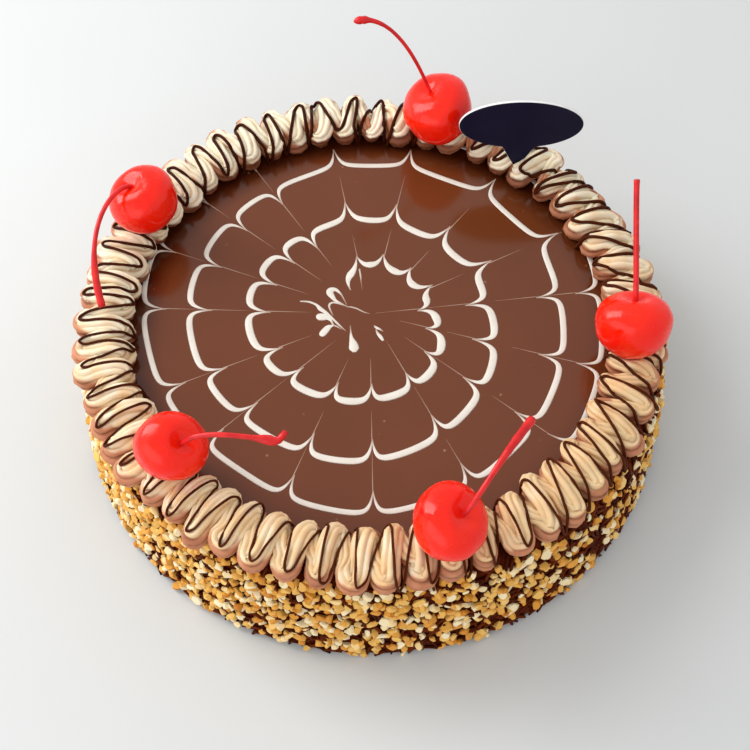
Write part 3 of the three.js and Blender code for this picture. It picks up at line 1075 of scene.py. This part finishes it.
# %% Finish the border
cream = new_finish(
    "piped_cream", Roughness=0.5, Specular_IOR_Level=0.25, Subsurface_Weight=0.1, Subsurface_Scale=0.002
)
pale_tone = mottled(cream, 130, (0.85, 0.72, 0.50), (0.90, 0.81, 0.64))
peach_tone = mottled(cream, 130, (0.79, 0.50, 0.25), (0.85, 0.62, 0.35))
outer_mocha = mottled(cream, 160, (0.46, 0.168, 0.080), (0.61, 0.265, 0.137))
# The dark mocha is painted shade, used under the inner ends and in the grooves of the mocha.
mocha_in_painted_shade = mottled(cream, 160, (0.13, 0.035, 0.013), (0.22, 0.065, 0.026))
groove_tone = mottled(cream, 140, (0.54, 0.29, 0.12), (0.66, 0.40, 0.19))
warm = span(cream, stored(cream, "warm_light_and_mottle"), 0, 1, 0.15, 0.8)
in_groove = span(cream, stored(cream, "groove"), 0, 0.9, 0.3, 1)
cream_tone = blended(cream, in_groove, blended(cream, warm, pale_tone, peach_tone), groove_tone)
mocha_tone = blended(cream, in_groove, blended(cream, "shaded", outer_mocha, mocha_in_painted_shade), mocha_in_painted_shade)
set_shader(cream, Base_Color=blended(cream, "mocha", cream_tone, mocha_tone))
roughened(cream, 420, 0.0005, 0.35, detail=4)
add_piece("piped_border_cream", border_mesh, cream, "cream", "piped_border")

# %% [markdown]
# ## The drizzle
#
# Melted chocolate is waved over the border in a thin stream, one zigzag to a lobe. It is drawn flat as a line
# through a few knots for each lobe, and then dropped on the cream: a ray is cast straight down at each point,
# and the line rests on what the ray hits. Taking the highest of a few neighbours makes the line bridge the
# flutes, as a thick stream does. The stream is thicker at the back than at the front, and darker there with
# painted shade.

# %% Draw the drizzle
DRIZZLE_STEPS = 6
# One lap of the zigzag: how far on it is, as a share of the lap, and its radius
DRIZZLE_STROKE = (
    (-0.18, 97.2), (-0.13, 101.1), (0.00, 102.9), (0.13, 101.1), (0.19, 97.2), (0.26, 92.4),
    (0.33, 88.6), (0.39, 86.5), (0.50, 85.5), (0.61, 86.5), (0.67, 88.6), (0.75, 92.4),
)


def swing(lap, most_at):
    """From 1 where the laps come nearest to this angle round the cake, to -1 on the other side."""
    return cos(lap / LOBES * 2 * pi - pi / 2 - radians(most_at))


drizzle_chance = random.Random(8)
outer_turns, inner_turns = [
    [(drizzle_chance.gauss(0, 0.13), drizzle_chance.gauss(0, 0.6)) for _ in range(LOBES)] for _ in range(2)
]
drizzle_knots = []
for lap in range(LOBES):
    for on, radius in DRIZZLE_STROKE:
        outer_slip, outer_longer = outer_turns[(lap + (on > 0.5)) % LOBES]
        inner_slip, inner_longer = inner_turns[lap - (on < 0)]
        outer_share = (1 + cos(2 * pi * on)) / 2
        radius += outer_share * (outer_longer - 0.3 - 1.9 * swing(lap, 110))
        radius -= (1 - outer_share) * (inner_longer + 1.3 * swing(lap, 180) ** 2)
        lean = 0.31 + 0.37 * swing(lap + on, 0)
        on += outer_share * outer_slip + (1 - outer_share) * (inner_slip + lean) + 0.16 + 0.18 * swing(lap, 0)
        drizzle_knots.append(on_border(lobe_angle(lap + on), radius))
drizzle_line = smooth_line(drizzle_knots, DRIZZLE_STEPS, closed=True)
print("Drizzle of", len(drizzle_line), "points")

# %% Drop the drizzle on the border
ABOVE_ALL = 90
NEIGHBOURS = (-2, -1, 0, 1, 2)

cream_surface = BVHTree.FromPolygons(
    [tuple(place) for place in points_of(border_mesh) / MM],
    [tuple(face.vertices) for face in border_mesh.polygons],
)
hits = [cream_surface.ray_cast(Vector((x, y, ABOVE_ALL)), Vector((0, 0, -1)))[0] for x, y in drizzle_line]
landed = [hit.z if hit else GLAZE_TOP for hit in hits]
bridged = np.max([np.roll(landed, shift) for shift in NEIGHBOURS], axis=0)
rested = np.mean([np.roll(bridged, shift) for shift in NEIGHBOURS], axis=0)
print("The drizzle lies from", round(rested.min(), 1), "to", round(rested.max(), 1), "mm up")

# %% Finish the drizzle
DRIZZLE_RADIUS = 0.38

thickness = []
for step in range(len(rested)):
    thicker = 0.45 + 0.32 * swing(step / len(rested) * LOBES, 70)
    thickness.append(DRIZZLE_RADIUS * (1 + thicker + 0.22 * noise(Vector((0.09 * step, 2, 0)))))
drizzle_curve = new_curve(8)
drizzle_points = np.column_stack((drizzle_line, rested + 0.35 * DRIZZLE_RADIUS))
add_strand(drizzle_curve, drizzle_points, thickness, closed=True)
drizzle_mesh = mesh_of_curve(drizzle_curve)
places = press_in(points_of(drizzle_mesh), gap=0.05)
move_points(drizzle_mesh, places)
# Painted shade: the drizzle is darker towards the back and browner at the front.
store(drizzle_mesh, "forward", 0.5 + (0.4 * places[:, 0] - places[:, 1]) / 210)

drizzle = new_finish("drizzle_chocolate", Roughness=0.35, Specular_IOR_Level=0.04)
dark_line = mottled(drizzle, 300, (0.032, 0.005, 0.001), (0.048, 0.008, 0.002))
brown_line = mottled(drizzle, 300, (0.070, 0.0125, 0.003), (0.100, 0.020, 0.005))
set_shader(drizzle, Base_Color=blended(drizzle, "forward", dark_line, brown_line))
add_piece("drizzle", drizzle_mesh, drizzle, "glaze")

# %% [markdown]
# ## The cherries
#
# A cherry is a slightly flat ball with a dimple where the stem goes in. It is full round the dimple and a
# little narrower below. Its profile is spun, the round form is tipped to the side that the fruit leans to, and
# noise dents it a little, more so below, where preserved fruit is soft. The finish is glossy and lets some
# light into the flesh.

# %% Turn the cherries
PROFILE_STEPS = 30
CHERRY_SIDES = 44
DIMPLE_DEPTH = 3.2
DIMPLE_RADIUS = 4.2


def cherry_axis(cherry):
    return Vector((*cherry.lean, 1)).normalized()


def cherry_form(cherry):
    profile = []
    for step in range(PROFILE_STEPS + 1):
        turn = step / PROFILE_STEPS * pi
        fullness = 1 - 0.06 * cos(turn) + 0.06 * max(0, -sin(2 * turn))
        reach = cherry.radius * fullness * sin(turn) if 0 < step < PROFILE_STEPS else 0
        dip = DIMPLE_DEPTH * exp(-((reach / DIMPLE_RADIUS) ** 2)) if turn > pi / 2 else 0
        profile.append((reach, -cherry.radius * CHERRY_TALLNESS * cos(turn) - dip))
    form = turned(profile, CHERRY_SIDES)
    tip = Vector((0, 0, 1)).rotation_difference(cherry_axis(cherry)).to_matrix()
    bmesh.ops.rotate(form, cent=(0, 0, 0), matrix=tip, verts=form.verts)
    bmesh.ops.scale(form, vec=(1, cherry.depth, 1), verts=form.verts)
    bmesh.ops.translate(form, vec=cherry_centre(cherry), verts=form.verts)
    return form


fruit = new_finish(
    "cherry_skin",
    Specular_IOR_Level=0.36,
    Subsurface_Weight=0.2,
    Subsurface_Scale=0.002,
    Subsurface_Radius=(1.0, 0.12, 0.08),
)
set_shader(fruit, Base_Color=mottled(fruit, 110, (0.98, 0.007, 0.0005), (1.0, 0.018, 0.001)))
syrupy = span(fruit, grain(fruit, 330), 0.07, 0.32, 0.35, 0.65)
set_shader(fruit, Roughness=syrupy)
roughened(fruit, 240, 0.0008, 0.2)
for number, cherry in enumerate(CHERRIES, start=1):
    cherry_mesh = mesh_from(cherry_form(cherry))
    places = points_of(cherry_mesh)
    from_centre = (places - np.array(cherry_centre(cherry))) / cherry.radius
    below = np.maximum(0, -from_centre[:, 2])
    dents = 0.4 * bumps(places, 0.14) + 0.3 * below * bumps(places, 0.5)
    move_points(cherry_mesh, places + from_centre * dents[:, None])
    add_piece(f"cherry_fruit_{number}", cherry_mesh, fruit, "cherry", f"cherry_{number}")

# %% [markdown]
# ## The stems
#
# Each stem leaves the dimple along the fruit's axis and bends over. A curve with a radius at every point
# follows that line. No two ends are alike: one stem thickens all the way, one was cut straight, one keeps the
# ribbed knob that it hung from, one ends in a plain club and one in a hook.

# %% Bend the stems
STEM_SINK = 1.6
STEM_RISE = 7.0
STEM_STEPS = 60
# For each stem, its thickness at distances from its tip, as a share of its radius
STEM_ENDS = (
    ((0, 1.55), (1, 1.75), (8, 1.6), (24, 1.0)),
    ((0, 1.1), (2, 1.0)),
    ((0, 0.4), (0.9, 1.7), (2.8, 2.2), (4.8, 1.9), (6.2, 1.3), (14, 1.0)),
    ((0, 1.4), (1, 1.6), (12, 1.5), (22, 1.0)),
    ((0, 1.0), (1, 1.3), (4, 1.5), (6.5, 1.9), (8.5, 1.6), (12, 1.0)),
)
# The fifth stem goes on past its tip in a short hook
HOOK = ((1.2, 0.3, 0.2), (2.3, 1.2, 0.8), (3.4, 2.6, 1.7))


def stem_line(cherry, hook=()):
    """The points of a stem, from its foot in the cherry to its tip."""
    foot_height = cherry.radius * CHERRY_TALLNESS - DIMPLE_DEPTH - STEM_SINK
    axis = cherry_axis(cherry)
    foot, rise = axis * foot_height, axis * (foot_height + STEM_RISE)
    line = interpolate_bezier(foot, rise, Vector(cherry.bend), Vector(cherry.tip), STEM_STEPS + 1)
    line += [Vector(cherry.tip) + Vector(offset) for offset in hook]
    return np.array([point + cherry_centre(cherry) for point in line])


stem_skin = new_finish("stem_skin", Roughness=0.3, Specular_IOR_Level=0.35)
set_shader(stem_skin, Base_Color=mottled(stem_skin, 220, (0.56, 0.008, 0.012), (0.82, 0.022, 0.020)))
roughened(stem_skin, 700, 0.0003, 0.3)
for number, (cherry, end) in enumerate(zip(CHERRIES, STEM_ENDS), start=1):
    line = stem_line(cherry, HOOK if number == 5 else ())
    lengths = np.linalg.norm(np.diff(line, axis=0), axis=1)
    to_tip = np.append(np.cumsum(lengths[::-1])[::-1], 0)
    shares = np.interp(to_tip, *zip(*end))
    ribs = 1 + 0.09 * np.sin(5.2 * to_tip) * np.clip(shares - 1, 0.1, 1)
    stem_curve = new_curve(12)
    add_strand(stem_curve, line, cherry.stem * shares * ribs)
    add_piece(f"stem_{number}", mesh_of_curve(stem_curve), stem_skin, "stem", f"cherry_stem_{number}")

# %% [markdown]
# ## The plaque
#
# The plaque is a card cut to an oval with a pointed tail, dark on its faces and white where it was cut. A
# circle is stretched to the oval, the points at its foot are drawn down to the tail, and the face is extruded
# to the card's thickness. The rim gets a finish of its own. The card is left blank.

# %% Cut the plaque
PLAQUE_HALF_WIDTH = 23.0
PLAQUE_HALF_HEIGHT = 12.0
PLAQUE_THICKNESS = 1.0
PLAQUE_SIDES = 92
RIM_BEVEL = 0.12
PLAQUE_CENTRE = Vector((54.6, 68.6, 75.5))
TAIL_HALF_ANGLE = 0.27
TAIL_TIP = -24.0

card = bmesh.new()
bmesh.ops.create_circle(card, cap_ends=True, segments=PLAQUE_SIDES, radius=1.0)
tail_half_width = PLAQUE_HALF_WIDTH * sin(TAIL_HALF_ANGLE)
tail_top = -PLAQUE_HALF_HEIGHT * cos(TAIL_HALF_ANGLE)
for point in card.verts:
    across, up = point.co.x * PLAQUE_HALF_WIDTH, point.co.y * PLAQUE_HALF_HEIGHT
    if up < 0 and abs(across) < tail_half_width:
        up = TAIL_TIP + (tail_top - TAIL_TIP) * abs(across) / tail_half_width
    point.co = (across, -PLAQUE_THICKNESS / 2, up)
extruded = bmesh.ops.extrude_face_region(card, geom=card.faces[:])
back_points = [part for part in extruded["geom"] if isinstance(part, bmesh.types.BMVert)]
bmesh.ops.translate(card, vec=(0, PLAQUE_THICKNESS, 0), verts=back_points)
bmesh.ops.recalc_face_normals(card, faces=card.faces)
rim_edges = [edge for edge in card.edges if abs(edge.verts[0].co.y - edge.verts[1].co.y) < 0.1]
bmesh.ops.bevel(card, geom=rim_edges, offset=RIM_BEVEL, segments=1, profile=0.5, affect="EDGES", material=-1)
for face in card.faces:
    face.material_index = 0 if abs(face.normal.y) > 0.95 else 1
bmesh.ops.translate(card, vec=PLAQUE_CENTRE, verts=card.verts)
plaque_mesh = mesh_from(card)
plaque_mesh.shade_flat()
print("Plaque with", len(rim_edges), "bevelled edges")

# %% Finish the plaque
plaque_print = new_finish("plaque_print", Roughness=0.4, Specular_IOR_Level=0.12)
set_shader(plaque_print, Base_Color=mottled(plaque_print, 60, (0.007, 0.007, 0.024), (0.011, 0.011, 0.034)))
plaque_edge = new_finish("plaque_edge", Roughness=0.6)
set_shader(plaque_edge, Base_Color=mottled(plaque_edge, 500, (0.74, 0.74, 0.74), (0.84, 0.84, 0.84)))
add_piece("oval_plaque", plaque_mesh, plaque_print, "plaque", "plaque")
plaque_mesh.materials.append(plaque_edge)
